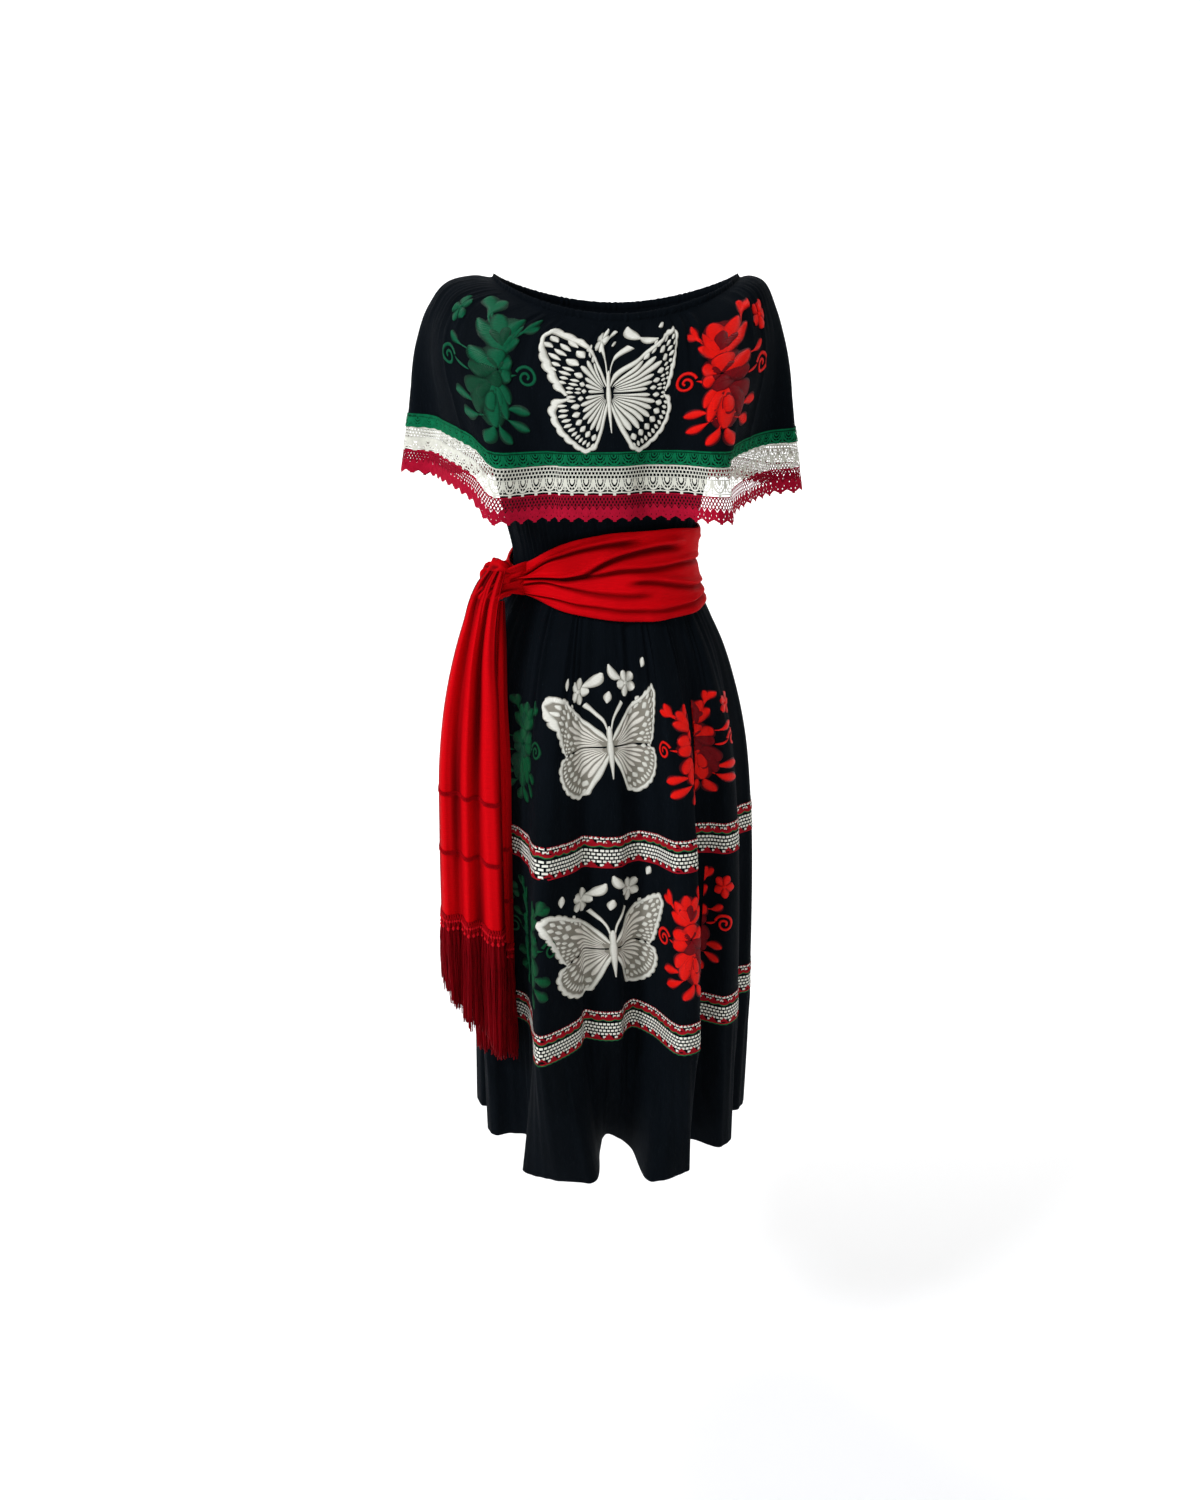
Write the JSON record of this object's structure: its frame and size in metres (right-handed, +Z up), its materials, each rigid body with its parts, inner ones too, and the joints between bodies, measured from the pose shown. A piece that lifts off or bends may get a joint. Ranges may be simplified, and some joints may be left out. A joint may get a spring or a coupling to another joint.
{
  "type": "off-shoulder dress with sash",
  "caption": "Worn-form off-shoulder dress: gathered neckline, wide lace-edged flounce, tiered skirt with lace trims, and a long fringed sash knotted at the side.",
  "frame": {"origin": "middle of the neckline at shoulder height, where the wearer's shoulders hold the dress", "axes": "+Z up, -Y the wearer's front, +X the wearer's left (right in a front view)"},
  "size_m": [0.5138, 0.4422, 1.1535],
  "materials": {
    "black_cotton": "crinkled black cotton gauze with a soft sheen",
    "green_lace": "matt green crochet lace",
    "white_lace": "matt ivory crochet lace",
    "red_lace": "matt crimson crochet lace",
    "woven_trim": "matt crochet trim in ivory with red and green edges",
    "red_sash": "soft scarlet woven cloth with a faint sheen"
  },
  "bodies": {
    "root": {"bodice_back": "black_cotton", "bodice_front": "black_cotton", "flounce_back": "black_cotton", "flounce_front": "black_cotton", "flounce_lace_green": "green_lace", "flounce_lace_red": "red_lace", "flounce_lace_white": "white_lace", "neck_casing": "black_cotton", "ruffle_back": "black_cotton", "ruffle_front": "black_cotton", "sash_fringe_back": "red_sash", "sash_fringe_front": "red_sash", "sash_knot": "red_sash", "sash_tail_back": "red_sash", "sash_tail_front": "red_sash", "sash_wrap": "red_sash", "skirt_back": "black_cotton", "skirt_front": "black_cotton", "trim_lower_narrow": "woven_trim", "trim_lower_wide": "woven_trim", "trim_upper_narrow": "woven_trim", "trim_upper_wide": "woven_trim"}
  },
  "joints": []
}
